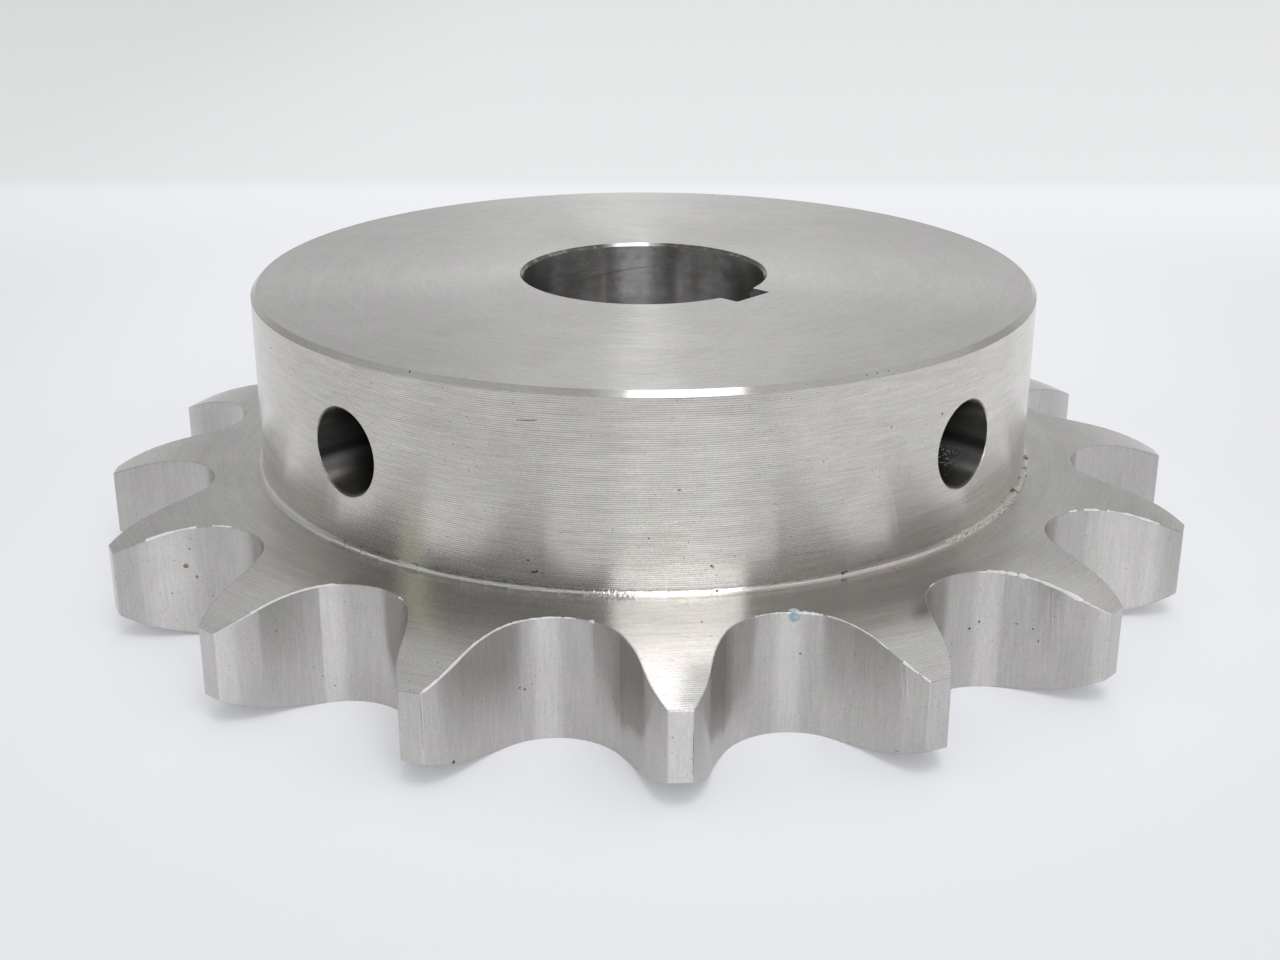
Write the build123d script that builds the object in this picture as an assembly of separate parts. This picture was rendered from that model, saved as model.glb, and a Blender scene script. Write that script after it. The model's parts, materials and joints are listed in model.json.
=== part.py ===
from build123d import *
from math import cos, isclose, pi, radians, sin, sqrt, tan
import os

# A roller chain sprocket with a hub on one side, cut from one piece of steel. All sizes are in mm.
# The flat back of the toothed plate lies on the XY plane, with the bore along Z and the hub upwards.
# The keyway points along +X, and a tooth stands almost in line with it.

# Chain and teeth
chain_pitch = 25.4
roller_diameter = 15.875
roller_clearance = 0.08      # how far the seat's radius is over the roller's
tooth_count = 16
tooth_offset_angle = 0.65    # degrees about Z, from the keyway's centre to the nearest tooth's
tooth_height = 7.62          # from the polygon that the chain's links make to the tip
plate_thickness = 14.6
tooth_relief_width = 3.175   # how much each side of a tooth is thinned at its tip, along Z
tooth_relief_height = 12.7   # how far in from the tip the thinning starts

# Hub and bore
hub_diameter = 101.6
overall_length = 38.1
hub_corner_radius = 0.8      # left by the turning tool where the hub meets the plate
hub_edge_chamfer = 0.65
bore_diameter = 31.75
bore_edge_chamfer = 0.4

# Keyway, its depth measured at its sides
keyway_width = 6.35
keyway_depth = 3.175

# Set screw holes: a thread beside the bore, and a plain access hole outside it
screw_angles = (0, -90)      # degrees about Z, the first one over the keyway
screw_thread_diameter = 9.525
screw_thread_length = 16
screw_access_diameter = 10.3
screw_drill_point = 118      # degrees, of the drill that makes the access hole
screw_mouth_chamfer = 0.35

# Standard tooth form for roller chain, its angles in degrees
seat_angle = 35 + 60 / tooth_count      # half of the seat that the roller lies in
flank_angle = 18 - 56 / tooth_count     # of the hollow curve beside the seat
flank_reach = 0.8 * roller_diameter     # from the roller's centre to the hollow curve's
tip_reach = 1.4 * roller_diameter       # from the roller's centre to the centre of the tip's curve

# Worked out from the sizes above
tooth_step = 360 / tooth_count
pitch_radius = chain_pitch / 2 / sin(pi / tooth_count)
tip_radius = chain_pitch / 2 / tan(pi / tooth_count) + tooth_height
hub_radius = hub_diameter / 2
bore_radius = bore_diameter / 2
screw_height = (plate_thickness + overall_length) / 2


def polar(distance, angle):
    """The point at a distance from zero, at an angle in degrees from +X."""
    return Vector(distance * cos(radians(angle)), distance * sin(radians(angle)))


def corners_at(section, distance):
    """The section's two corners that lie at a distance from the Z axis, the lower one first."""
    corners = section.vertices().filter_by(lambda corner: isclose(corner.X, distance))
    return corners.sort_by(Axis.Y)


def turned_blank():
    """The sprocket before its teeth are cut: plate, hub and bore, turned about Z."""
    relief_start = tip_radius - tooth_relief_height
    with BuildSketch() as section:
        with BuildLine():
            back = Line((bore_radius, 0), (relief_start, 0))
            back_relief = TangentArc(back @ 1, (tip_radius, tooth_relief_width), tangent=(1, 0))
            land_top = (tip_radius, plate_thickness - tooth_relief_width)
            Line(back_relief @ 1, land_top)
            front_relief = TangentArc((relief_start, plate_thickness), land_top, tangent=(1, 0))
            Polyline(front_relief @ 0, (bore_radius, plate_thickness), (bore_radius, 0))
        make_face()
        with Locations((bore_radius, plate_thickness / 2)):
            hub_length = overall_length - plate_thickness / 2
            Rectangle(hub_radius - bore_radius, hub_length, align=(Align.MIN, Align.MIN))
        fillet(corners_at(section, hub_radius)[0], hub_corner_radius)
        chamfer(corners_at(section, hub_radius)[-1], hub_edge_chamfer)
        chamfer(corners_at(section, bore_radius), bore_edge_chamfer)
    return revolve(Plane.XZ * section.sketch, Axis.Z)


def tooth_gap():
    """Cutter for one gap between two teeth, on the +X side."""
    roller = Vector(pitch_radius, 0)
    seat_radius = roller_diameter / 2 + roller_clearance
    flank_centre = roller + polar(flank_reach, 90 - seat_angle)
    tip_centre = roller - polar(tip_reach, 90 - tooth_step / 2)
    slope = flank_angle - seat_angle
    flank_end = flank_centre + polar(seat_radius + flank_reach, slope - 90)
    tip_start = flank_end + polar((tip_centre - flank_end).dot(polar(1, slope)), slope)
    tip_curve_radius = (tip_start - tip_centre).length
    outside = tip_radius + chain_pitch
    with BuildSketch() as gap:
        with BuildLine():
            CenterArc(roller, seat_radius, 180, 90 - seat_angle)
            CenterArc(flank_centre, seat_radius + flank_reach, 270 - seat_angle, flank_angle)
            Line(flank_end, tip_start)
            tip_curve = CenterArc(tip_centre, tip_curve_radius, 0, slope + 90)
            Polyline(tip_curve @ 0, (outside, (tip_curve @ 0).Y), (outside, 0))
            mirror(about=Plane.XZ)
        make_face()
    return extrude(gap.sketch, overall_length)


def keyway():
    """Cutter for the slot along the bore that takes the key."""
    side_start = sqrt(bore_radius ** 2 - (keyway_width / 2) ** 2)
    floor = side_start + keyway_depth
    return Box(floor, keyway_width, overall_length, align=(Align.MIN, Align.CENTER, Align.MIN))


def screw_hole():
    """Cutter for one set screw hole, from the bore out through the hub along +X."""
    thread_radius = screw_thread_diameter / 2
    access_radius = screw_access_diameter / 2
    thread_end = bore_radius + screw_thread_length
    access_start = thread_end + (access_radius - thread_radius) / tan(radians(screw_drill_point / 2))
    mouth_radius = access_radius + 2 * screw_mouth_chamfer
    outline = Polyline(
        (0, 0),
        (0, thread_radius),
        (thread_end, thread_radius),
        (access_start, access_radius),
        (hub_radius - screw_mouth_chamfer, access_radius),
        (hub_radius + screw_mouth_chamfer, mouth_radius),
        (hub_radius + screw_mouth_chamfer, 0),
        close=True,
    )
    return Pos(0, 0, screw_height) * revolve(make_face(outline), Axis.X)


def sprocket():
    """The finished sprocket."""
    body = turned_blank()
    gap = tooth_gap()
    for tooth in range(tooth_count):
        gap_angle = tooth_offset_angle + (tooth + 0.5) * tooth_step
        body -= Rot(0, 0, gap_angle) * gap
    body -= keyway()
    hole = screw_hole()
    for angle in screw_angles:
        body -= Rot(0, 0, angle) * hole
    return body


os.makedirs("parts", exist_ok=True)
export_step(sprocket(), "parts/sprocket.step")
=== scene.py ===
import json
import math
import random

import bpy
from mathutils import Matrix, Vector


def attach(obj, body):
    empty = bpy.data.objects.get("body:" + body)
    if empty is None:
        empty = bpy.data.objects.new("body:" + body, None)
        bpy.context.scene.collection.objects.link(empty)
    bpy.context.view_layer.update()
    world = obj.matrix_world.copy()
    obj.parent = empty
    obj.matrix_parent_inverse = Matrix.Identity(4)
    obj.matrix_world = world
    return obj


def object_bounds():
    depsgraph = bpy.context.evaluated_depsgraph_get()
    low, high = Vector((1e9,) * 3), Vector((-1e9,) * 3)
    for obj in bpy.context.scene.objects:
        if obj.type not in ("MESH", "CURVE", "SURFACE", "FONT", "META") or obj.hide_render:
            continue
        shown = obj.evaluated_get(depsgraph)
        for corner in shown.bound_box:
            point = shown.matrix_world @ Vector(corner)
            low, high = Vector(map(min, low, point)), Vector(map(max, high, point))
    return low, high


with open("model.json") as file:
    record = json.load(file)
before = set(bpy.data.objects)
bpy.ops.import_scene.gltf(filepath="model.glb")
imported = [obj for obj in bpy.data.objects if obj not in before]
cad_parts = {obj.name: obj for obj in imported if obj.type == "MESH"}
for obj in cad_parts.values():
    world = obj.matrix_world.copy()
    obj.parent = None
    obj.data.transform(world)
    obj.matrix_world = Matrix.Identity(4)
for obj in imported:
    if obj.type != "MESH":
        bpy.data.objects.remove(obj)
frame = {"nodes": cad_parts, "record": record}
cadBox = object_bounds()
print("frame loaded:", ", ".join(sorted(frame["nodes"])))

mm = 0.001
mounts = {mount["name"]: mount for mount in frame["record"]["mounts"]}

# sizes that the finishes and small pieces follow
body = {
    "hubRadius": 50.8 * mm,
    "hubTop": cadBox[1].z,
    "plateTop": 2 * mounts["teeth"]["pos_m"][2],    # the mount lies midway up the plate
    "tipRadius": cadBox[1].x,
    "toothCount": mounts["teeth"]["dims"]["count"],
    "firstTooth": 0.65,            # degrees about Z
    "reliefHeight": 12.7 * mm,     # the teeth's tops curve down over this length
    "reliefWidth": 3.175 * mm,     # and by this much at the tip
    "holeHeight": mounts["screw_thread_over_keyway"]["pos_m"][2],
    "threadRadius": mounts["screw_thread_over_keyway"]["dims"]["r_mm"] * mm,
}
body["reliefStart"] = body["tipRadius"] - body["reliefHeight"]
body["reliefArc"] = (body["reliefHeight"] ** 2 + body["reliefWidth"] ** 2) / (2 * body["reliefWidth"])

# a place round the axis; azimuths are degrees about Z, and the keyway lies at 0
def polar(azimuth, radius, height=0.0):
    turn = math.radians(azimuth)
    return Vector((radius * math.cos(turn), radius * math.sin(turn), height))


# Camera

cameraPlace = {
    "distance": 247.44 * mm,       # from the middle of the plate's back
    "azimuth": -47.403,            # degrees about Z, the keyway being at 0
    "elevation": 22.91,
    "pan": 0.101,                  # small turns away from the middle, in degrees
    "tilt": 1.869,
    "roll": 0.1,
    "lens": 49.854,
}

def addCamera(settings):
    elevation = math.radians(settings["elevation"])
    place = settings["distance"] * polar(settings["azimuth"], math.cos(elevation), math.sin(elevation))
    aim = (-place).to_track_quat("-Z", "Y").to_matrix()
    pan = Matrix.Rotation(math.radians(settings["pan"]), 3, "Y")
    tilt = Matrix.Rotation(math.radians(settings["tilt"]), 3, "X")
    roll = Matrix.Rotation(math.radians(settings["roll"]), 3, "Z")
    data = bpy.data.cameras.new("camera")
    data.sensor_width = 36
    data.lens = settings["lens"]
    data.clip_start = 0.01
    camera = bpy.data.objects.new("camera", data)
    camera.matrix_world = Matrix.Translation(place) @ (aim @ pan @ tilt @ roll).to_4x4()
    bpy.context.scene.collection.objects.link(camera)
    bpy.context.scene.camera = camera

addCamera(cameraPlace)
print("camera placed")


# Shader helpers

class Shader:
    def __init__(self, tree):
        self.tree = tree

    def add(self, kind, settings=None, inputs=None):
        node = self.tree.nodes.new("ShaderNode" + kind)
        for name, value in (settings or {}).items():
            setattr(node, name, value)
        for name, value in (inputs or {}).items():
            self.feed(node.inputs[name], value)
        return node

    def feed(self, socket, value):
        if isinstance(value, bpy.types.NodeSocket):
            self.tree.links.new(value, socket)
        else:
            socket.default_value = value

    def math(self, operation, a, b=0.0, c=0.0):
        node = self.add("Math", {"operation": operation})
        for socket, value in zip(node.inputs, (a, b, c)):
            self.feed(socket, value)
        return node.outputs[0]

    def times(self, product, *factors):
        for factor in factors:
            product = self.math("MULTIPLY", product, factor)
        return product

    # amount times strength, on top of the base
    def plus(self, base, amount, strength):
        return self.math("MULTIPLY_ADD", amount, strength, base)

    # 1 where the mask is 0, and the other way round
    def opposite(self, mask):
        return self.math("SUBTRACT", 1.0, mask)

    # a noise's values swing about 0.5, and these about 0
    def swing(self, noise):
        return self.math("SUBTRACT", noise, 0.5)

    def vector(self, operation, a, b=(0, 0, 0)):
        node = self.add("VectorMath", {"operation": operation})
        self.feed(node.inputs[0], a)
        self.feed(node.inputs[1], b)
        return node.outputs["Value" if operation in ("LENGTH", "DOT_PRODUCT") else "Vector"]

    # how far a place lies along a direction
    def along(self, place, direction):
        return self.vector("DOT_PRODUCT", place, tuple(direction))

    def scale(self, vector, factor):
        return self.add("VectorMath", {"operation": "SCALE"}, {0: vector, "Scale": factor}).outputs["Vector"]

    # from start at low to end at high, level beyond both; low may be the larger
    def ramp(self, value, low, high, start=0.0, end=1.0):
        node = self.add("MapRange", {"interpolation_type": "SMOOTHSTEP"})
        if low > high:
            low, high, start, end = high, low, end, start
        for socket, number in zip(node.inputs, (value, low, high, start, end)):
            self.feed(socket, number)
        return node.outputs[0]

    # from start where the mask is 0 to end where it is 1
    def fade(self, mask, start, end):
        return self.ramp(mask, 0.0, 1.0, start, end)

    def noise(self, place, scale, detail=2.0, roughness=0.5, dimensions="3D"):
        node = self.add("TexNoise", {"noise_dimensions": dimensions})
        self.feed(node.inputs["W" if dimensions == "1D" else "Vector"], place)
        for name, value in (("Scale", scale), ("Detail", detail), ("Roughness", roughness)):
            self.feed(node.inputs[name], value)
        return node.outputs[0]

    # mixes two values, vectors or colours
    def blend(self, factor, a, b, kind="FLOAT"):
        first, output = {"FLOAT": (2, 0), "VECTOR": (4, 1), "RGBA": (6, 2)}[kind]
        node = self.add("Mix", {"data_type": kind})
        self.feed(node.inputs[0], factor)
        self.feed(node.inputs[first], a)
        self.feed(node.inputs[first + 1], b)
        return node.outputs[output]


def newMaterial(name):
    material = bpy.data.materials.new(name)
    material.use_nodes = True
    material.node_tree.nodes.clear()
    shader = Shader(material.node_tree)
    principled = shader.add("BsdfPrincipled")
    shader.add("OutputMaterial", inputs={"Surface": principled.outputs[0]})
    return material, shader, principled


# Lamps and room

viewTurn = Matrix.Rotation(math.radians(cameraPlace["azimuth"] + 90), 3, "Z")
viewRight = viewTurn @ Vector((1, 0, 0))
viewAway = viewTurn @ Vector((0, 1, 0))

# places and sizes in metres: across the view, along it away from the camera, and up
lamps = {
    "frontPanel": {"place": (0.245, -1.38, 0.7), "size": (0.96, 0.41), "power": 3.5,
                   "colour": (0.96, 0.985, 1.04)},
    "highPanel": {"place": (0.206, -0.98, 1.21), "size": (0.84, 0.93), "power": 2.4,
                  "colour": (0.96, 0.985, 1.04)},
    "ceilingStrip": {"place": (0.32, -0.92, 2.2), "size": (0.85, 0.95), "power": 9.5, "facesDown": True},
    "topTube": {"place": (0.0, 1.3, 2.4), "size": (0.29, 3.2), "power": 3.4, "facesDown": True},
    "leftPanel": {"place": (-1.128, -0.447, 0.5), "size": (0.17, 0.7), "power": 0.22,
                  "colour": (0.9, 1.0, 0.75)},
}

# a lamp is aimed at the sprocket, unless it shines straight down
def addLamp(name, settings):
    data = bpy.data.lights.new(name, "AREA")
    data.shape = "RECTANGLE"
    data.size, data.size_y = settings["size"]
    data.energy = settings["power"]
    data.color = settings.get("colour", (1, 1, 1))
    place = viewTurn @ Vector(settings["place"])
    aim = viewTurn if settings.get("facesDown") else (-place).to_track_quat("-Z", "Y").to_matrix()
    lamp = bpy.data.objects.new(name, data)
    lamp.matrix_world = Matrix.Translation(place) @ aim.to_4x4()
    bpy.context.scene.collection.objects.link(lamp)

for name, settings in lamps.items():
    addLamp(name, settings)

# how bright the room is all round; a span is where one level turns into the next,
# along a direction of length 1
room = {
    "frontSpan": (-0.4, 0.4),      # from left to right
    "frontLevels": (0.1, 0.25),
    "backLeftSpan": (-0.17, -0.02),
    "backRightSpan": (0.02, 0.17),
    "backLevels": (0.53, 0.8, 0.58),
    "backFade": (0.18, 0.34, 1.22, 0.95),    # upwards: the back is brighter low down
    "ceilingSpan": (-0.3, 0.3),
    "ceilingLevels": (0.65, 0.8),
    "frontToBack": (-0.2, 0.45),   # away from the camera
    "wallToCeiling": (0.4, 0.65),  # upwards
    "seenLevel": 0.8,              # what the camera itself sees of it
}

def addWorld(settings):
    world = bpy.data.worlds.new("world")
    bpy.context.scene.world = world
    world.use_nodes = True
    shader = Shader(world.node_tree)
    background = world.node_tree.nodes["Background"]
    direction = shader.add("TexCoord").outputs["Generated"]
    away = shader.along(direction, viewAway)
    right = shader.along(direction, viewRight)
    height = shader.add("SeparateXYZ", inputs={0: direction}).outputs["Z"]
    left, middle, farRight = settings["backLevels"]
    front = shader.ramp(right, *settings["frontSpan"], *settings["frontLevels"])
    back = shader.ramp(right, *settings["backLeftSpan"], left, middle)
    back = shader.blend(shader.ramp(right, *settings["backRightSpan"]), back, farRight)
    back = shader.times(back, shader.ramp(height, *settings["backFade"]))
    ceiling = shader.ramp(right, *settings["ceilingSpan"], *settings["ceilingLevels"])
    level = shader.blend(shader.ramp(away, *settings["frontToBack"]), front, back)
    level = shader.blend(shader.ramp(height, *settings["wallToCeiling"]), level, ceiling)
    seen = shader.add("LightPath").outputs["Is Camera Ray"]
    level = shader.blend(seen, level, settings["seenLevel"])
    shader.feed(background.inputs["Color"], (1, 1, 1, 1))
    shader.feed(background.inputs["Strength"], level)

addWorld(room)


# Floor of pale paper

paper = {
    "size": 6.0,
    "floorColour": (0.7, 0.707, 0.729, 1),
    "backdropColour": (0.653, 0.659, 0.663, 1),
    "edge": 241 * mm,              # behind the sprocket, where the backdrop's paper starts
    "edgeBlur": 9 * mm,
    "farGlow": 0.37,               # what the far floor lacks, being further from the lamps
    "farLeft": (-0.22, -0.05, 0.7, 1.0),     # less of it at the left
    "nearShadowFill": 0.22,              # painted light: glow that gives back what the sprocket's own shade takes
    "nearSpan": (0.22, 0.08),      # metres from the middle
    # painted light under the sprocket and its teeth, filling their contact shade
    "underShadowFill": 0.07,
    "underSpan": (0.1, 0.07),
    "roughness": 0.9,
    "specular": 0.2,
}

def addFloor(settings):
    bpy.ops.object.select_all(action="DESELECT")
    bpy.ops.mesh.primitive_plane_add(size=settings["size"])
    floor = bpy.context.object
    floor.name = "floor"
    material, shader, principled = newMaterial("floorPaper")
    place = shader.add("TexCoord").outputs["Object"]
    away = shader.along(place, viewAway)
    right = shader.along(place, viewRight)
    reach = shader.vector("LENGTH", place)
    edge, blur = settings["edge"], settings["edgeBlur"]
    backdrop = shader.ramp(away, edge - blur, edge + blur)
    farGlow = shader.ramp(away, 0.0, edge, 0.0, settings["farGlow"])
    farGlow = shader.times(farGlow, shader.ramp(right, *settings["farLeft"]))
    nearShadowFill = shader.ramp(reach, *settings["nearSpan"], 0.0, settings["nearShadowFill"])
    underShadowFill = shader.ramp(reach, *settings["underSpan"], 0.0, settings["underShadowFill"])
    # the far part evens the floor, the near and under parts are painted light in the sprocket's shade
    glow = shader.math("ADD", farGlow, shader.math("ADD", nearShadowFill, underShadowFill))
    colour = shader.blend(backdrop, settings["floorColour"], settings["backdropColour"], "RGBA")
    shader.feed(principled.inputs["Base Color"], colour)
    shader.feed(principled.inputs["Emission Color"], colour)
    shader.feed(principled.inputs["Emission Strength"], glow)
    shader.feed(principled.inputs["Roughness"], settings["roughness"])
    shader.feed(principled.inputs["Specular IOR Level"], settings["specular"])
    floor.data.materials.append(material)

addFloor(paper)
bpy.context.scene.view_settings.view_transform = "Standard"
print("floor and lamps placed")


# Steel, bare and machined all over

# a ramp is written as its two ends, and then its two levels where they aren't 0 and 1
steel = {
    # each cut's surface, where the ramps for it are all 1
    "cuts": {
        "upright": (0.6, 0.5),                         # by how far it faces up or down
        "outside": (54 * mm, 55 * mm),                 # from the axis, past the hub and its corner
        "inside": (19.3 * mm, 19.1 * mm),              # the bore with its keyway
        "keywaySide": (19.3 * mm, 19.5 * mm),          # along X, where the hole over the keyway lies
        "faceHeight": (-0.1 * mm, 0.0),                # from the hub's end
        "chamferHeight": (-0.67 * mm, -0.64 * mm),
        "chamferFacing": (0.9, 0.8),
        "holeRadius": (5.45 * mm, 5.35 * mm),
        "holeLip": (0.5 * mm, 2 * mm, 0.0, 0.12 * mm), # its dark colour reaches a little further at the top, a painted shade on the mouth's upper edge
        "holeOuterEnd": (body["hubRadius"] - 0.04 * mm, body["hubRadius"] - 0.2 * mm),
        "holeInnerEnd": (16.0 * mm, 16.2 * mm),
        "boreEdgeRadius": (16.35 * mm, 16.25 * mm),
        "boreEdgeHeight": (-0.42 * mm, -0.38 * mm),
        "boreEdgeFacing": (0.95, 0.9),
        "boreEdgeUnshaded": (-0.09, 1, 0),                # across, away and up: the middle of the part the painted shade leaves out
        "boreEdgeUnshadedSpan": (0.985, 0.955),
        "boreEdgeNoise": (900, 2),                     # scale and detail
        "boreEdgeRagged": (0.3, 0.5, 0.5, 1.0),
    },
    # the corner between hub and plate
    "corner": {
        "radius": 0.8 * mm,
        "overlap": (0.1 * mm, 0.05 * mm),              # into the hub and into the plate
        "chatterDepth": 0.03 * mm,
        "chatterNoise": (2600, 1),
        "chatterMiddle": -53.0,                        # azimuth
        "chatterSpan": (0.985, 0.997, 0.2, 1.0),
    },
    # turned lines and grooves
    "lines": {
        "feed": 0.251 * mm,                            # from one turned line to the next
        "feedShade": 0.19,
        "feedDepth": 0.0013 * mm,
        "feedMiddle": -57.0,                           # the azimuth where the lines are freshest
        "feedSpan": (0.7, 0.94, 0.25, 1.0),
        "patches": (0.35, 0.6, 0.4, 1.2),              # they come and go with the clouds
        "onPlate": 0.2,
        "onFace": 0.15,
        "onTeeth": (66 * mm, 70 * mm, 0.0, 0.45),
        "wobble": 0.02 * mm,
        "wobbleNoise": 40,
        "grooveNoise": (2600, 3, 0.6),                 # random grooves to the metre, detail, roughness
        "grooveDepth": 0.0033 * mm,
        "onChamfer": 0.2,
    },
    # noises, each with its scale, detail and roughness
    "grain": {
        "turnedReach": 3 * mm,                         # a larger one makes shorter streaks
        "wallStretch": (1, 1, 0.06),
        "fine": (4200, 2, 0.6),
        "streaks": (700, 3, 0.6),
        "clouds": (95, 4, 0.6),
        "blotches": (330, 3, 0.55),
        "speckle": (3300, 2, 0.6),
        "pits": (3000, 0),
        "pitSpan": (0.82, 0.86),
    },
    "shades": {
        "fine": 0.7,
        "streaks": 0.45,
        "speckle": 0.3,
        "clouds": 0.3,
        "brushed": {"face": 0.4, "plate": 0.42, "hub": 0.62},
        "pits": 0.55,
        "tipLand": (71.2 * mm, 71.4 * mm, 1.0, 1.07),
        "paintedSheenGain": 1.15,                             # painted sheen: the hub's upper half is brighter at the right
        "paintedSheenSpan": (0.15, 0.4),
        "paintedSheenHeight": (22 * mm, 32 * mm),
    },
    "colours": {
        "face": (0.578, 0.566, 0.552, 1),
        "hub": (0.655, 0.627, 0.588, 1),
        "wall": (0.612, 0.592, 0.575, 1),
        "chamfer": (0.5, 0.495, 0.465, 1),
        "bore": (0.64, 0.64, 0.645, 1),
        "stain": (0.45, 0.40, 0.33, 1),
        "hole": (0.14, 0.137, 0.128, 1),
        "boreEdge": (0.13, 0.127, 0.1, 1),
        "greenTint": (0.985, 1.008, 0.985),
        "pinkTint": (1.015, 0.992, 1.012),
        "tintSpan": (0.35, 0.65),
        "stainSpan": (0.4, 0.65, 0.0, 0.45),
    },
    # the holes are darker further in, a painted shade, with a few painted glints and a painted glow on their
    # lower halves
    "holes": {
        "darkening": (41 * mm, 50 * mm, 0.12, 1.0),
        "sparkNoise": (0.55, 0.68),
        "sparkStart": (41 * mm, 44 * mm),
        "sparkEnd": (48.5 * mm, 46 * mm),
        "sparkDrop": (-2 * mm, -4 * mm),               # from the hole's middle
        "glow": 0.3,
        "glowSide": (-1.8 * mm, -3.4 * mm),            # along X, in the hole beside the keyway
        "glowDrop": (-1.6 * mm, -3.2 * mm),
        "glowStart": (45 * mm, 49 * mm),
    },
    "roughness": {"plate": 0.18, "hub": 0.215, "face": 0.2, "wall": 0.29, "hole": 0.42, "streaks": 0.08},
    "anisotropy": 1.0,
    "edgeRadius": 0.25 * mm,                           # of the plate's and the teeth's edges
    "edgeSamples": 4,
}

# what the finish follows at each point of the surface
def readSurface(shader):
    place = shader.add("TexCoord").outputs["Object"]
    x, y, height = shader.add("SeparateXYZ", inputs={0: place}).outputs
    flat = shader.add("CombineXYZ", inputs={"X": x, "Y": y}).outputs[0]
    geometry = shader.add("NewGeometry")
    return {
        "place": place,
        "x": x,
        "y": y,
        "height": height,
        "radius": shader.vector("LENGTH", flat),
        "outward": shader.vector("NORMALIZE", flat),
        "holeUp": shader.math("SUBTRACT", height, body["holeHeight"]),
        "normal": geometry.outputs["Normal"],
        "facing": shader.add("SeparateXYZ", inputs={0: geometry.outputs["True Normal"]}).outputs["Z"],
    }

# masks, each 1 on the surface that one cut has left, and boreEdge, the painted shade on the bore's edge
def findCuts(shader, at, settings):
    fromEnd = shader.math("SUBTRACT", at["height"], body["hubTop"])
    upright = shader.ramp(shader.math("ABSOLUTE", at["facing"]), *settings["upright"])
    outside = shader.ramp(at["radius"], *settings["outside"])
    keywaySide = shader.ramp(at["x"], *settings["keywaySide"])
    chamfer = shader.times(
        shader.ramp(fromEnd, *settings["chamferHeight"]),
        shader.ramp(at["facing"], *settings["chamferFacing"]),
    )
    return {
        "outside": outside,
        "wall": shader.times(upright, outside),
        "hub": shader.times(upright, shader.opposite(outside)),
        "bore": shader.times(upright, shader.ramp(at["radius"], *settings["inside"])),
        "face": shader.ramp(fromEnd, *settings["faceHeight"]),
        "chamfer": chamfer,
        "keywaySide": keywaySide,
        "hole": findHoles(shader, at, keywaySide, settings),
        "boreEdge": findBoreEdgeShade(shader, at, fromEnd, settings),
    }

# one screw hole lies along X, over the keyway, and the other along Y
def findHoles(shader, at, keywaySide, settings):
    sideways = shader.blend(keywaySide, at["x"], at["y"])
    offAxis = shader.add("CombineXYZ", inputs={"X": sideways, "Y": at["holeUp"]}).outputs[0]
    lip = shader.ramp(at["holeUp"], *settings["holeLip"])
    reach = shader.math("SUBTRACT", shader.vector("LENGTH", offAxis), lip)
    return shader.times(
        shader.ramp(reach, *settings["holeRadius"]),
        shader.ramp(at["radius"], *settings["holeOuterEnd"]),
        shader.ramp(at["radius"], *settings["holeInnerEnd"]),
    )

# painted shade: the bore's edge is darkened in ragged patches, but for the part at the back
def findBoreEdgeShade(shader, at, fromEnd, settings):
    back = shader.along(at["outward"], viewTurn @ Vector(settings["boreEdgeUnshaded"]).normalized())
    ragged = shader.noise(at["place"], *settings["boreEdgeNoise"])
    return shader.times(
        shader.ramp(at["radius"], *settings["boreEdgeRadius"]),
        shader.ramp(fromEnd, *settings["boreEdgeHeight"]),
        shader.ramp(at["facing"], *settings["boreEdgeFacing"]),
        shader.ramp(back, *settings["boreEdgeUnshadedSpan"]),
        shader.ramp(ragged, *settings["boreEdgeRagged"]),
    )

# the corner between hub and plate is round, whatever triangles it has
def roundCorner(shader, at, settings):
    intoHub, intoPlate = settings["overlap"]
    fromHub = shader.math("SUBTRACT", body["hubRadius"] + settings["radius"], at["radius"])
    fromPlate = shader.math("SUBTRACT", body["plateTop"] + settings["radius"], at["height"])
    corner = shader.times(
        shader.math("GREATER_THAN", fromHub, 0.0),
        shader.math("GREATER_THAN", fromPlate, 0.0),
        shader.math("GREATER_THAN", at["radius"], body["hubRadius"] - intoHub),
        shader.math("GREATER_THAN", at["height"], body["plateTop"] - intoPlate),
    )
    rounded = shader.vector("ADD", shader.scale(at["outward"], fromHub), shader.scale((0, 0, 1), fromPlate))
    normal = shader.blend(corner, at["normal"], shader.vector("NORMALIZE", rounded), "VECTOR")
    return corner, normal

# highlights are drawn out across the turned grooves, up and down between the teeth, and along the holes
def highlightTangent(shader, at, cuts, normal):
    around = shader.vector("CROSS_PRODUCT", (0, 0, 1), at["outward"])
    tangent = shader.vector("CROSS_PRODUCT", normal, around)
    tangent = shader.blend(cuts["wall"], tangent, (0, 0, 1), "VECTOR")
    holeAxis = shader.blend(cuts["keywaySide"], (0, 1, 0), (1, 0, 0), "VECTOR")
    return shader.blend(cuts["hole"], tangent, holeAxis, "VECTOR")

# the place across the grooves: on the hub's side its height, elsewhere its radius
def acrossGrooves(shader, at, cuts, settings):
    across = shader.blend(cuts["hub"], at["radius"], at["height"])
    wobble = shader.noise(at["place"], settings["wobbleNoise"])
    return shader.math("ADD", across, shader.times(wobble, settings["wobble"]))

# the fine grain and the streaks are read so that they come out long, as the cut runs
def makeGrain(shader, at, cuts, across, settings):
    turned = shader.vector(
        "ADD",
        shader.scale(at["outward"], settings["turnedReach"]),
        shader.scale((0, 0, 1), across),
    )
    milled = shader.vector("MULTIPLY", at["place"], settings["wallStretch"])
    cut = shader.blend(cuts["wall"], turned, milled, "VECTOR")
    grain = {name: shader.noise(cut, *settings[name]) for name in ("fine", "streaks")}
    for name in ("clouds", "blotches", "speckle"):
        grain[name] = shader.noise(at["place"], *settings[name])
    grain["pits"] = shader.ramp(shader.noise(at["place"], *settings["pits"]), *settings["pitSpan"])
    return grain

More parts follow.
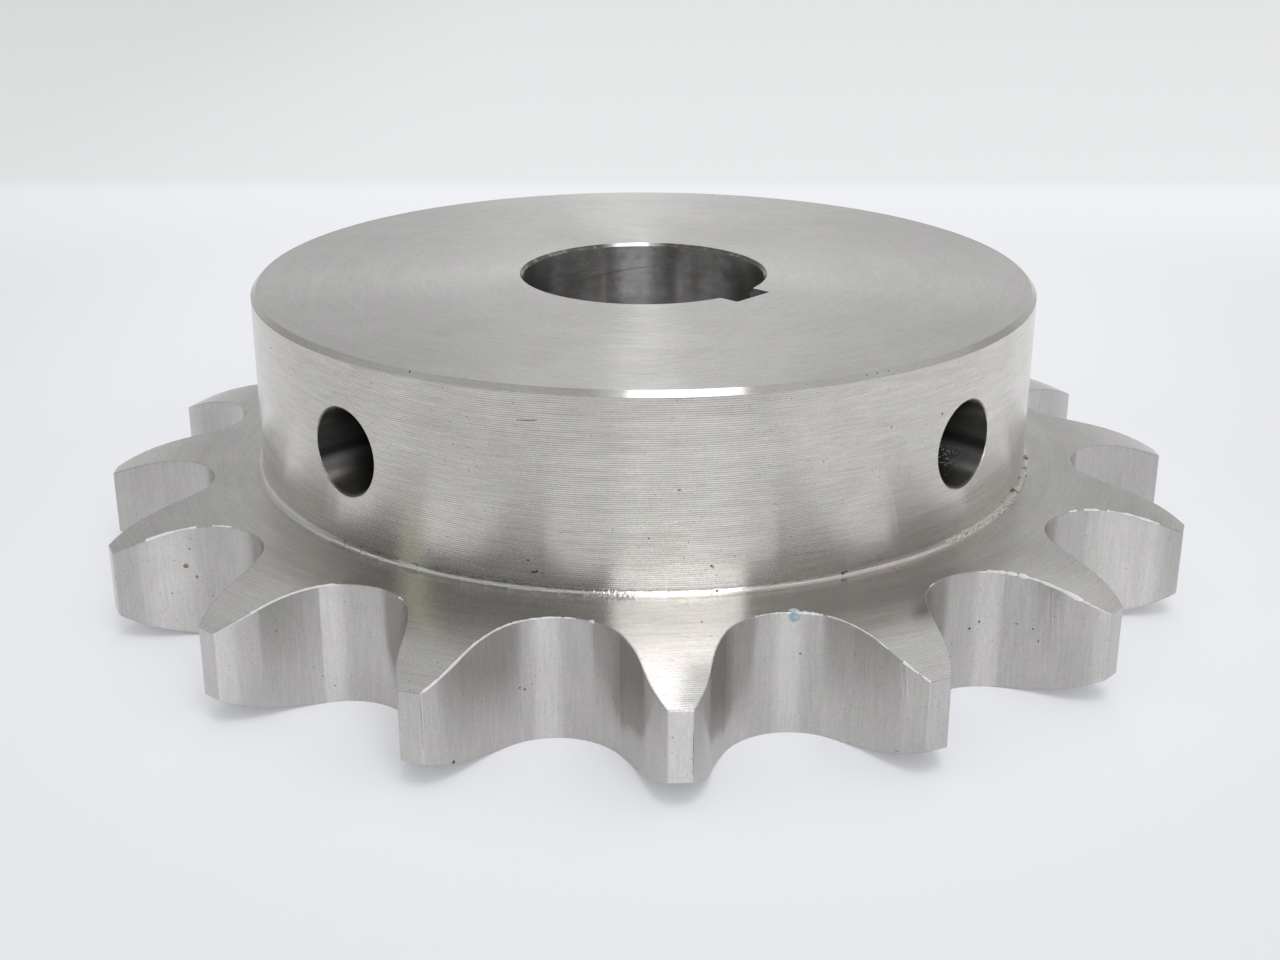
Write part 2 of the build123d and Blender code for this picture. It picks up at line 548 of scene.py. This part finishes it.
# the regular lines of the last turning cut, with their strength from place to place
def turnLines(shader, at, cuts, across, clouds, settings):
    waves = shader.math("SINE", shader.times(across, 2 * math.pi / settings["feed"]))
    fresh = shader.along(at["outward"], polar(settings["feedMiddle"], 1))
    strength = shader.times(
        shader.ramp(clouds, *settings["patches"]),
        shader.fade(cuts["outside"], 1.0, settings["onPlate"]),
        shader.fade(cuts["face"], 1.0, settings["onFace"]),
        shader.ramp(fresh, *settings["feedSpan"]),
    )
    strength = shader.math("ADD", strength, shader.ramp(at["radius"], *settings["onTeeth"]))
    strength = shader.times(strength, shader.opposite(cuts["wall"]), shader.opposite(cuts["chamfer"]))
    return shader.times(waves, strength)

# how bright the steel is from place to place, about 1
def shadeSteel(shader, at, cuts, grain, lines, settings):
    shades = settings["shades"]
    brushed = shader.math(
        "ADD",
        shader.times(shader.swing(grain["fine"]), shades["fine"]),
        shader.times(shader.swing(grain["streaks"]), shades["streaks"]),
    )
    brushed = shader.times(brushed, shader.opposite(cuts["chamfer"]))
    amounts = shades["brushed"]
    amount = shader.fade(cuts["outside"], amounts["face"], amounts["plate"])
    level = shader.plus(1.0, brushed, shader.blend(cuts["hub"], amount, amounts["hub"]))
    for name in ("speckle", "clouds"):
        level = shader.plus(level, shader.swing(grain[name]), shades[name])
    level = shader.plus(level, lines, settings["lines"]["feedShade"])
    # painted sheen: the hub's upper half is lighter on the side facing the view's right
    paintedSheen = shader.times(
        shader.ramp(shader.along(at["outward"], viewRight), *shades["paintedSheenSpan"]),
        shader.ramp(at["height"], *shades["paintedSheenHeight"]),
    )
    paintedSheen = shader.fade(paintedSheen, 1.0, shades["paintedSheenGain"])
    return shader.times(
        level,
        shader.fade(grain["pits"], 1.0, shades["pits"]),
        shader.ramp(at["radius"], *shades["tipLand"]),
        shader.blend(cuts["hub"], 1.0, paintedSheen),
    )

# painted glints low in the hole over the keyway, and a painted glow low in the other hole
def paintedHoleLights(shader, at, cuts, grain, settings):
    paintedGlints = shader.times(
        shader.ramp(grain["speckle"], *settings["sparkNoise"]),
        shader.ramp(at["radius"], *settings["sparkStart"]),
        shader.ramp(at["radius"], *settings["sparkEnd"]),
        shader.ramp(at["holeUp"], *settings["sparkDrop"]),
        cuts["keywaySide"],
    )
    glow = shader.times(
        shader.ramp(at["x"], *settings["glowSide"]),
        shader.ramp(at["holeUp"], *settings["glowDrop"]),
        shader.ramp(at["radius"], *settings["glowStart"]),
        shader.fade(cuts["keywaySide"], settings["glow"], 0.0),
    )
    return shader.times(cuts["hole"], shader.math("MAXIMUM", paintedGlints, glow))

def colourSteel(shader, at, cuts, grain, level, settings):
    colours = settings["colours"]
    holes = settings["holes"]
    colour = colours["face"]
    for cut in ("hub", "wall", "chamfer", "bore"):
        colour = shader.blend(cuts[cut], colour, colours[cut], "RGBA")
    stains = shader.times(cuts["bore"], shader.ramp(grain["blotches"], *colours["stainSpan"]))
    colour = shader.blend(stains, colour, colours["stain"], "RGBA")
    # painted shade: the holes' colour darkens further in
    depths = shader.scale(colours["hole"][:3], shader.ramp(at["radius"], *holes["darkening"]))
    colour = shader.blend(cuts["hole"], colour, depths, "RGBA")
    # painted shade on the bore's edge, all but the back
    colour = shader.blend(cuts["boreEdge"], colour, colours["boreEdge"], "RGBA")
    colour = shader.blend(paintedHoleLights(shader, at, cuts, grain, holes), colour, colours["hub"], "RGBA")
    hue = shader.ramp(grain["blotches"], *colours["tintSpan"])
    tint = shader.blend(hue, colours["greenTint"], colours["pinkTint"], "VECTOR")
    return shader.vector("MULTIPLY", shader.scale(colour, level), tint)

def roughenSteel(shader, cuts, grain, settings):
    roughness = settings["plate"]
    for cut in ("hub", "face", "wall", "hole"):
        roughness = shader.blend(cuts[cut], roughness, settings[cut])
    return shader.plus(roughness, shader.swing(grain["streaks"]), settings["streaks"])

# turned grooves and lines, and a chattered stretch of the corner
def carveSteel(shader, at, cuts, across, lines, corner, settings):
    turned, rounded = settings["lines"], settings["corner"]
    near = shader.along(at["outward"], polar(rounded["chatterMiddle"], 1))
    chatter = shader.times(
        shader.noise(at["place"], *rounded["chatterNoise"]),
        shader.times(corner, rounded["chatterDepth"]),
        shader.ramp(near, *rounded["chatterSpan"]),
    )
    ridges = shader.noise(across, *turned["grooveNoise"], "1D")
    relief = shader.times(ridges, turned["grooveDepth"], shader.opposite(cuts["wall"]))
    relief = shader.plus(relief, lines, turned["feedDepth"])
    relief = shader.times(relief, shader.fade(cuts["chamfer"], 1.0, turned["onChamfer"]))
    return shader.math("ADD", relief, chatter)

def makeSteel(settings):
    material, shader, principled = newMaterial("turnedSteel")
    at = readSurface(shader)
    cuts = findCuts(shader, at, settings["cuts"])
    corner, normal = roundCorner(shader, at, settings["corner"])
    across = acrossGrooves(shader, at, cuts, settings["lines"])
    grain = makeGrain(shader, at, cuts, across, settings["grain"])
    lines = turnLines(shader, at, cuts, across, grain["clouds"], settings["lines"])
    level = shadeSteel(shader, at, cuts, grain, lines, settings)
    relief = carveSteel(shader, at, cuts, across, lines, corner, settings)
    edges = shader.add("Bevel", {"samples": settings["edgeSamples"]}, {"Radius": settings["edgeRadius"]})
    bump = shader.add("Bump", inputs={
        "Height": relief,
        "Distance": 1.0,
        "Normal": shader.blend(cuts["outside"], normal, edges.outputs[0], "VECTOR"),
    })
    for name, value in {
        "Base Color": colourSteel(shader, at, cuts, grain, level, settings),
        "Metallic": 1.0,
        "Roughness": roughenSteel(shader, cuts, grain, settings["roughness"]),
        "Anisotropic": settings["anisotropy"],
        "Tangent": highlightTangent(shader, at, cuts, normal),
        "Normal": bump.outputs[0],
    }.items():
        shader.feed(principled.inputs[name], value)
    return material

steelFinish = makeSteel(steel)
sprocket = frame["nodes"]["sprocket"]
sprocket.material_slots[0].material = steelFinish
print("steel finished")


# Small pieces on the steel

def selectAlone(*pieces):
    bpy.ops.object.select_all(action="DESELECT")
    for piece in pieces:
        piece.select_set(True)
    bpy.context.view_layer.objects.active = pieces[0]

# the object sits at the origin unturned, and is smooth up to this angle in degrees
def finishPiece(piece, material, smoothAngle=40):
    selectAlone(piece)
    bpy.ops.object.transform_apply(location=True, rotation=True, scale=True)
    bpy.ops.object.shade_smooth_by_angle(angle=math.radians(smoothAngle))
    piece.data.materials.clear()
    piece.data.materials.append(material)
    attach(piece, "root")

def joinPieces(name, parts, material):
    selectAlone(*parts)
    bpy.ops.object.join()
    piece = bpy.context.object
    piece.name = name
    finishPiece(piece, material, smoothAngle=60)


# screw threads, from the bore outwards in the two holes
threads = {
    "pitch": 1.5875 * mm,
    "rootWidth": 1.45 * mm,
    "crestWidth": 0.25 * mm,
    "depth": 0.86 * mm,
    "buried": 0.04 * mm,           # in the hole's wall
    "stepsPerTurn": 36,
    "holes": {
        "threadOverKeyway": {"start": 19.3 * mm, "turns": 7, "turn": (0, math.pi / 2, 0)},
        "threadBesideKeyway": {"start": 16.3 * mm, "turns": 9, "turn": (math.pi / 2, 0, 0)},
    },
}

def addThread(name, hole, settings):
    outer = body["threadRadius"] + settings["buried"]
    depth = settings["depth"] + settings["buried"]
    centre = Vector((outer - depth / 2, 0, hole["start"] + settings["rootWidth"] / 2))

    # the outline of one thread, as wide as its root at the hole's wall and narrower at the crest
    bpy.ops.object.select_all(action="DESELECT")
    bpy.ops.mesh.primitive_plane_add(size=1, location=centre, rotation=(math.pi / 2, 0, 0))
    thread = bpy.context.object
    thread.name = name
    thread.scale = (depth, settings["rootWidth"], 1)
    bpy.ops.object.transform_apply(location=True, rotation=True, scale=True)
    for vertex in thread.data.vertices:
        vertex.select = vertex.co.x < centre.x
    for line in thread.data.edges:
        line.select = all(thread.data.vertices[v].select for v in line.vertices)
    thread.data.polygons[0].select = False
    narrowing = settings["crestWidth"] / settings["rootWidth"]
    bpy.ops.object.mode_set(mode="EDIT")
    bpy.ops.transform.resize(value=(1, 1, narrowing), center_override=(0, 0, centre.z))
    bpy.ops.mesh.select_all(action="SELECT")
    bpy.ops.mesh.delete(type="ONLY_FACE")
    bpy.ops.object.mode_set(mode="OBJECT")

    # wound up the hole, and closed at both ends
    bpy.ops.object.modifier_add(type="SCREW")
    screw = thread.modifiers[-1]
    screw.axis = "Z"
    screw.screw_offset = settings["pitch"]
    screw.iterations = hole["turns"]
    screw.steps = screw.render_steps = settings["stepsPerTurn"]
    bpy.ops.object.modifier_apply(modifier=screw.name)
    bpy.ops.object.mode_set(mode="EDIT")
    bpy.ops.mesh.select_all(action="SELECT")
    bpy.ops.mesh.fill_holes(sides=0)
    bpy.ops.mesh.normals_make_consistent(inside=False)
    bpy.ops.object.mode_set(mode="OBJECT")
    thread.rotation_euler = hole["turn"]
    thread.location.z = body["holeHeight"]
    finishPiece(thread, steelFinish)

for name, hole in threads["holes"].items():
    addThread(name, hole, threads)
print("threads cut")


# what the small pieces are made of, each in patches of a dark and a light colour
coatings = {
    # near white: the raw edges and light scratches are real, their brightness a painted highlight
    "paintedHighlightBurr": {"name": "rawEdgePaintedHighlight", "roughness": 0.3, "metallic": 0.3,
             "dark": (0.88, 0.87, 0.85, 1), "light": (0.98, 0.975, 0.97, 1)},
    "crumb": {"name": "paleCrumbs", "roughness": 0.5, "metallic": 0.6,
              "dark": (0.4, 0.385, 0.335, 1), "light": (0.6, 0.585, 0.53, 1)},
    "dirt": {"name": "blackDirt", "roughness": 0.7, "metallic": 0.0,
             "dark": (0.03, 0.022, 0.015, 1), "light": (0.1, 0.07, 0.045, 1)},
    "rust": {"name": "rust", "roughness": 0.75, "metallic": 0.0,
             "dark": (0.19, 0.12, 0.065, 1), "light": (0.42, 0.31, 0.2, 1)},
    "lint": {"name": "blueLint", "roughness": 0.8, "metallic": 0.0,
             "dark": (0.36, 0.45, 0.48, 1), "light": (0.52, 0.62, 0.66, 1)},
}
coatingPatches = {
    "noise": (5200, 3, 0.6),       # scale, detail and roughness
    "span": (0.35, 0.65),
    "duller": 0.1,                 # the light patches
}

def makeCoating(settings, patches):
    material, shader, principled = newMaterial(settings["name"])
    place = shader.add("TexCoord").outputs["Object"]
    spread = shader.ramp(shader.noise(place, *patches["noise"]), *patches["span"])
    colour = shader.blend(spread, settings["dark"], settings["light"], "RGBA")
    roughness = shader.fade(spread, settings["roughness"], settings["roughness"] + patches["duller"])
    shader.feed(principled.inputs["Base Color"], colour)
    shader.feed(principled.inputs["Metallic"], settings["metallic"])
    shader.feed(principled.inputs["Roughness"], roughness)
    return material

finishes = {coating: makeCoating(settings, coatingPatches) for coating, settings in coatings.items()}

# the nearest place on the steel, and the way it faces; azimuth in degrees, the rest in mm
def onSteel(azimuth, radius, height):
    place, facing = sprocket.closest_point_on_mesh(polar(azimuth, radius, height) * mm)[1:3]
    return place, facing

# a thin strand along the points, uneven by the ragged share of its thickness
strandShape = {
    "startSize": 0.1 * mm,         # of the plane that is merged into the first point
    "skinRadius": 0.9,             # times the thickness
}

def addStrand(points, thickness, ragged, chance, shape=strandShape):
    bpy.ops.object.select_all(action="DESELECT")
    bpy.ops.mesh.primitive_plane_add(size=shape["startSize"], location=points[0])
    strand = bpy.context.object
    bpy.ops.object.transform_apply(location=True)
    bpy.ops.object.mode_set(mode="EDIT")
    bpy.ops.mesh.select_all(action="SELECT")
    bpy.ops.mesh.merge(type="CENTER")
    for last, point in zip(points, points[1:]):
        bpy.ops.mesh.extrude_vertices_move(TRANSFORM_OT_translate={"value": point - last})
    bpy.ops.object.mode_set(mode="OBJECT")
    bpy.ops.object.modifier_add(type="SKIN")
    for vertex in strand.data.skin_vertices[0].data:
        half = shape["skinRadius"] * thickness * (1 + ragged * chance.uniform(-1, 1)) * mm
        vertex.radius = (half, half)
    bpy.ops.object.modifier_apply(modifier=strand.modifiers[-1].name)
    return strand


# raw edges left by the tooth cutter; from and to are degrees from the middle of the gap
# their near-white coating is a painted highlight along the edges
burrs = {
    "seed": 7,
    "step": 0.22,                  # degrees between a strand's points
    "shake": 0.012 * mm,
    "strands": [                   # gap, from, to, thickness in mm, raggedness
        (-3, -10.1, -5.4, 0.10, 0.25), (-3, -5.4, -0.5, 0.07, 0.5),
        (-3, -0.3, 1.0, 0.05, 0.8), (-3, 2.5, 3.0, 0.09, 0.7),
        (-4, -8.6, -4.8, 0.09, 0.3), (-4, 3.2, 3.9, 0.05, 0.7),
        (-2, -2.2, 1.4, 0.06, 0.7), (-2, 2.3, 4.8, 0.12, 0.45), (-2, 5.2, 8.3, 0.05, 0.5),
        (-2, 8.9, 9.6, 0.12, 0.6), (-2, 9.8, 10.2, 0.09, 0.5),
        (-1, 4.7, 6.6, 0.14, 0.45), (-1, 6.7, 8.9, 0.15, 0.6), (-1, -3.4, -2.4, 0.05, 0.6),
        (-5, -8.6, -6.8, 0.10, 0.5), (-5, -5.9, -4.2, 0.06, 0.6),
        (0, 4.2, 5.0, 0.08, 0.7), (0, 5.6, 6.6, 0.07, 0.8), (0, 7.0, 8.9, 0.09, 0.7),
    ],
    "tips": [(-2, 0.09, 0.7)],     # tooth, thickness in mm, raggedness
    "tipSpan": (-1.0, 1.0),        # degrees from the tooth's middle
    "tipPoints": 21,
    "tipSink": (0.02, 0.11),       # mm inwards from the tip
}

def toothAzimuth(tooth, offset):
    return body["firstTooth"] + 360 / body["toothCount"] * tooth + offset

# a place on the plate's upper side, which curves down over the teeth
def toothTop(azimuth, radius):
    beyond = max(0.0, radius - body["reliefStart"])
    drop = body["reliefArc"] - math.sqrt(body["reliefArc"] ** 2 - beyond ** 2)
    return polar(azimuth, radius, body["plateTop"] - drop)

# where the wall of a tooth gap meets the plate's upper side, found from outside the teeth
def edgePlace(gap, offset):
    azimuth = toothAzimuth(gap + 0.5, offset)
    outward = polar(azimuth, 1)
    start = 1.1 * body["tipRadius"] * outward + Vector((0, 0, body["plateTop"] / 2))
    wall = sprocket.ray_cast(start, -outward)[1]
    return toothTop(azimuth, wall.xy.length)

def addBurrs(settings):
    chance = random.Random(settings["seed"])
    shake = settings["shake"]
    parts = []
    for gap, start, end, thickness, ragged in settings["strands"]:
        count = max(2, round((end - start) / settings["step"]))
        points = [edgePlace(gap, start + (end - start) * step / count) for step in range(count + 1)]
        points = [point + Vector([chance.uniform(-shake, shake) for axis in range(3)]) for point in points]
        parts.append(addStrand(points, thickness, ragged, chance))
    start, end = settings["tipSpan"]
    steps = settings["tipPoints"] - 1
    for tooth, thickness, ragged in settings["tips"]:
        points = []
        for step in range(steps + 1):
            azimuth = toothAzimuth(tooth, start + (end - start) * step / steps)
            points.append(toothTop(azimuth, body["tipRadius"] - chance.uniform(*settings["tipSink"]) * mm))
        parts.append(addStrand(points, thickness, ragged, chance))
    joinPieces("edgeBurrs", parts, finishes["paintedHighlightBurr"])

addBurrs(burrs)
print("raw edges placed")


# hair scratches: from and to as azimuth, radius and height, then thickness in mm and coating
scratches = {
    "seed": 3,
    "ragged": 0.5,
    "steps": 12,
    "lines": [
        ((-45.1, 50.8, 23.05), (-43.2, 50.8, 23.25), 0.06, "paintedHighlightBurr"),
        ((-62.9, 50.8, 34.30), (-60.2, 50.8, 34.50), 0.035, "dirt"),
        ((-24.0, 69.0, 12.3), (-23.8, 69.3, 8.5), 0.02, "paintedHighlightBurr"),
        ((-24.3, 68.3, 12.6), (-24.1, 68.8, 9.0), 0.015, "paintedHighlightBurr"),
        ((-65.85, 71.47, 10.8), (-65.8, 71.47, 5.0), 0.014, "dirt"),
        ((-43.3, 71.47, 9.0), (-43.3, 71.47, 4.0), 0.014, "dirt"),
        ((170.0, 15.87, 33.2), (117.0, 15.87, 35.3), 0.028, "dirt"),
        ((-2.73, 64.96, 13.2), (-2.64, 65.3, 9.0), 0.014, "paintedHighlightBurr"),
        ((-2.6, 65.4, 13.0), (-2.5, 65.9, 7.2), 0.018, "paintedHighlightBurr"),
        ((-2.46, 66.0, 12.4), (-2.33, 66.5, 6.4), 0.013, "paintedHighlightBurr"),
    ],
}

def addScratches(settings):
    chance = random.Random(settings["seed"])
    steps = settings["steps"]
    parts = {}
    for start, end, thickness, coating in settings["lines"]:
        points = []
        for step in range(steps + 1):
            between = [a + (b - a) * step / steps for a, b in zip(start, end)]
            points.append(onSteel(*between)[0])
        strand = addStrand(points, thickness, settings["ragged"], chance)
        parts.setdefault(coating, []).append(strand)
    for coating, strands in parts.items():
        joinPieces(coating + "Scratches", strands, finishes[coating])

addScratches(scratches)
print("scratches placed")


# dirt, rust, lint and crumbs: azimuth, radius, height, then width and length, which size multiplies
marks = {
    "seed": 11,
    "size": {"dirt": 1.3, "rust": 2.0, "lint": 1.0, "crumb": 1.5},
    "thickness": 0.35,             # share of the smaller of width and length
    "uneven": 0.14,                # share of the lump's size
    "subdivisions": 2,
    "dirt": [
        # on the hub's side
        (-61.8, 50.8, 18.1, 0.24, 0.18), (-61.1, 50.8, 16.75, 0.55, 0.22), (-60.7, 50.8, 16.9, 0.2, 0.2),
        (-60.0, 50.8, 16.7, 0.2, 0.12), (-46.7, 50.8, 21.4, 0.14, 0.14), (-36.0, 50.8, 18.9, 0.1, 0.1),
        (-38.3, 50.8, 16.8, 0.12, 0.12), (-39.7, 50.8, 17.5, 0.1, 0.1), (-38.9, 50.8, 17.9, 0.26, 0.18),
        (-38.7, 50.8, 17.7, 0.12, 0.16),
        # in the corner between hub and plate, and one on the plate
        (-38.2, 51.0, 14.95, 0.3, 0.2), (-38.9, 51.3, 14.8, 0.14, 0.1), (-41.2, 57.8, 14.6, 0.24, 0.16),
        (-21.2, 50.95, 15.1, 0.32, 0.26), (-20.7, 51.0, 15.2, 0.3, 0.14), (23.2, 50.85, 15.5, 0.35, 0.3),
        (18.4, 50.85, 15.45, 0.5, 0.35), (17.4, 50.85, 15.6, 0.3, 0.3), (13.6, 50.85, 15.3, 0.22, 0.2),
        (8.0, 51.2, 14.8, 0.2, 0.2), (4.0, 51.2, 14.8, 0.18, 0.14),
        # in the tooth gaps
        (-60.0, 58.6, 6.4, 0.24, 0.14), (-60.4, 59.0, 6.7, 0.2, 0.12), (-59.3, 58.1, 6.9, 0.12, 0.1),
        (-30.2, 57.7, 9.7, 0.16, 0.18),
        # high on the hub, and low on a tooth
        (-109.0, 50.8, 34.8, 0.14, 0.14), (-64.3, 68.1, 2.0, 0.3, 0.3),
        # on the hub's chamfer
        (-17.0, 50.4, 37.9, 0.2, 0.1), (-18.6, 50.4, 37.9, 0.16, 0.1), (-15.2, 50.4, 37.9, 0.2, 0.08),
        # on the sides of the teeth
        (-3.1, 63.6, 8.1, 0.18, 0.14), (-2.9, 64.3, 6.7, 0.16, 0.16), (-107.8, 63.0, 11.6, 0.14, 0.2),
        (-108.6, 65.4, 5.9, 0.2, 0.12), (-106.9, 61.0, 5.3, 0.1, 0.1), (-6.3, 58.6, 8.3, 0.14, 0.28),
        (-7.2, 58.0, 7.5, 0.24, 0.22), (-3.9, 61.9, 8.4, 0.2, 0.12),
        # a nick in the hub's chamfer
        (-77.83, 50.3, 37.92, 0.14, 0.32),
    ],
    "rust": [
        (-43.0, 50.8, 27.0, 0.24, 0.1), (-14.0, 52.2, 14.6, 0.5, 0.36), (34.5, 51.3, 14.9, 0.5, 0.4),
        (-5.6, 50.8, 31.3, 0.16, 0.16), (-108.0, 63.6, 9.4, 0.34, 0.3), (-107.6, 62.5, 7.9, 0.18, 0.22),
    ],
    "lint": [(-30.8, 57.1, 14.6, 1.4, 1.0), (-30.9, 57.47, 14.1, 1.15, 1.1)],
    "crumb": {                     # in a row along the corner, each size within its range
        "count": 84,
        "azimuth": (-3, 31),
        "radius": (50.95, 51.3),
        "height": (14.8, 15.1),
        "width": (0.3, 0.5),
        "length": (0.35, 0.65),
    },
}

# a flat lump that lies on the steel, made from a ball 1 across; width and length come in mm
def addLump(place, facing, width, length, seed, settings):
    bpy.ops.object.select_all(action="DESELECT")
    bpy.ops.mesh.primitive_ico_sphere_add(subdivisions=settings["subdivisions"], radius=0.5)
    lump = bpy.context.object
    bpy.ops.object.mode_set(mode="EDIT")
    bpy.ops.mesh.select_all(action="SELECT")
    bpy.ops.transform.vertex_random(offset=settings["uneven"], seed=seed)
    bpy.ops.object.mode_set(mode="OBJECT")
    lump.scale = Vector((width, length, settings["thickness"] * min(width, length))) * mm
    lump.rotation_euler = facing.to_track_quat("Z", "Y").to_euler()
    lump.location = place
    return lump

def addMarks(coating, settings):
    size = settings["size"][coating]
    lumps = []
    for azimuth, radius, height, width, length in settings[coating]:
        place, facing = onSteel(azimuth, radius, height)
        lumps.append(addLump(place, facing, size * width, size * length, len(lumps), settings))
    joinPieces(coating + "Marks", lumps, finishes[coating])

def addCrumbs(settings):
    chance = random.Random(settings["seed"])
    crumbs = settings["crumb"]
    size = settings["size"]["crumb"]
    start, end = crumbs["azimuth"]
    lumps = []
    for count in range(crumbs["count"]):
        azimuth = start + (end - start) * (count + chance.random()) / crumbs["count"]
        radius, height = chance.uniform(*crumbs["radius"]), chance.uniform(*crumbs["height"])
        width, length = chance.uniform(*crumbs["width"]), chance.uniform(*crumbs["length"])
        place, facing = onSteel(azimuth, radius, height)
        lumps.append(addLump(place, facing, size * width, size * length, count, settings))
    joinPieces("cornerCrumbs", lumps, finishes["crumb"])

for coating in ("dirt", "rust", "lint"):
    addMarks(coating, marks)
addCrumbs(marks)
print("marks placed")
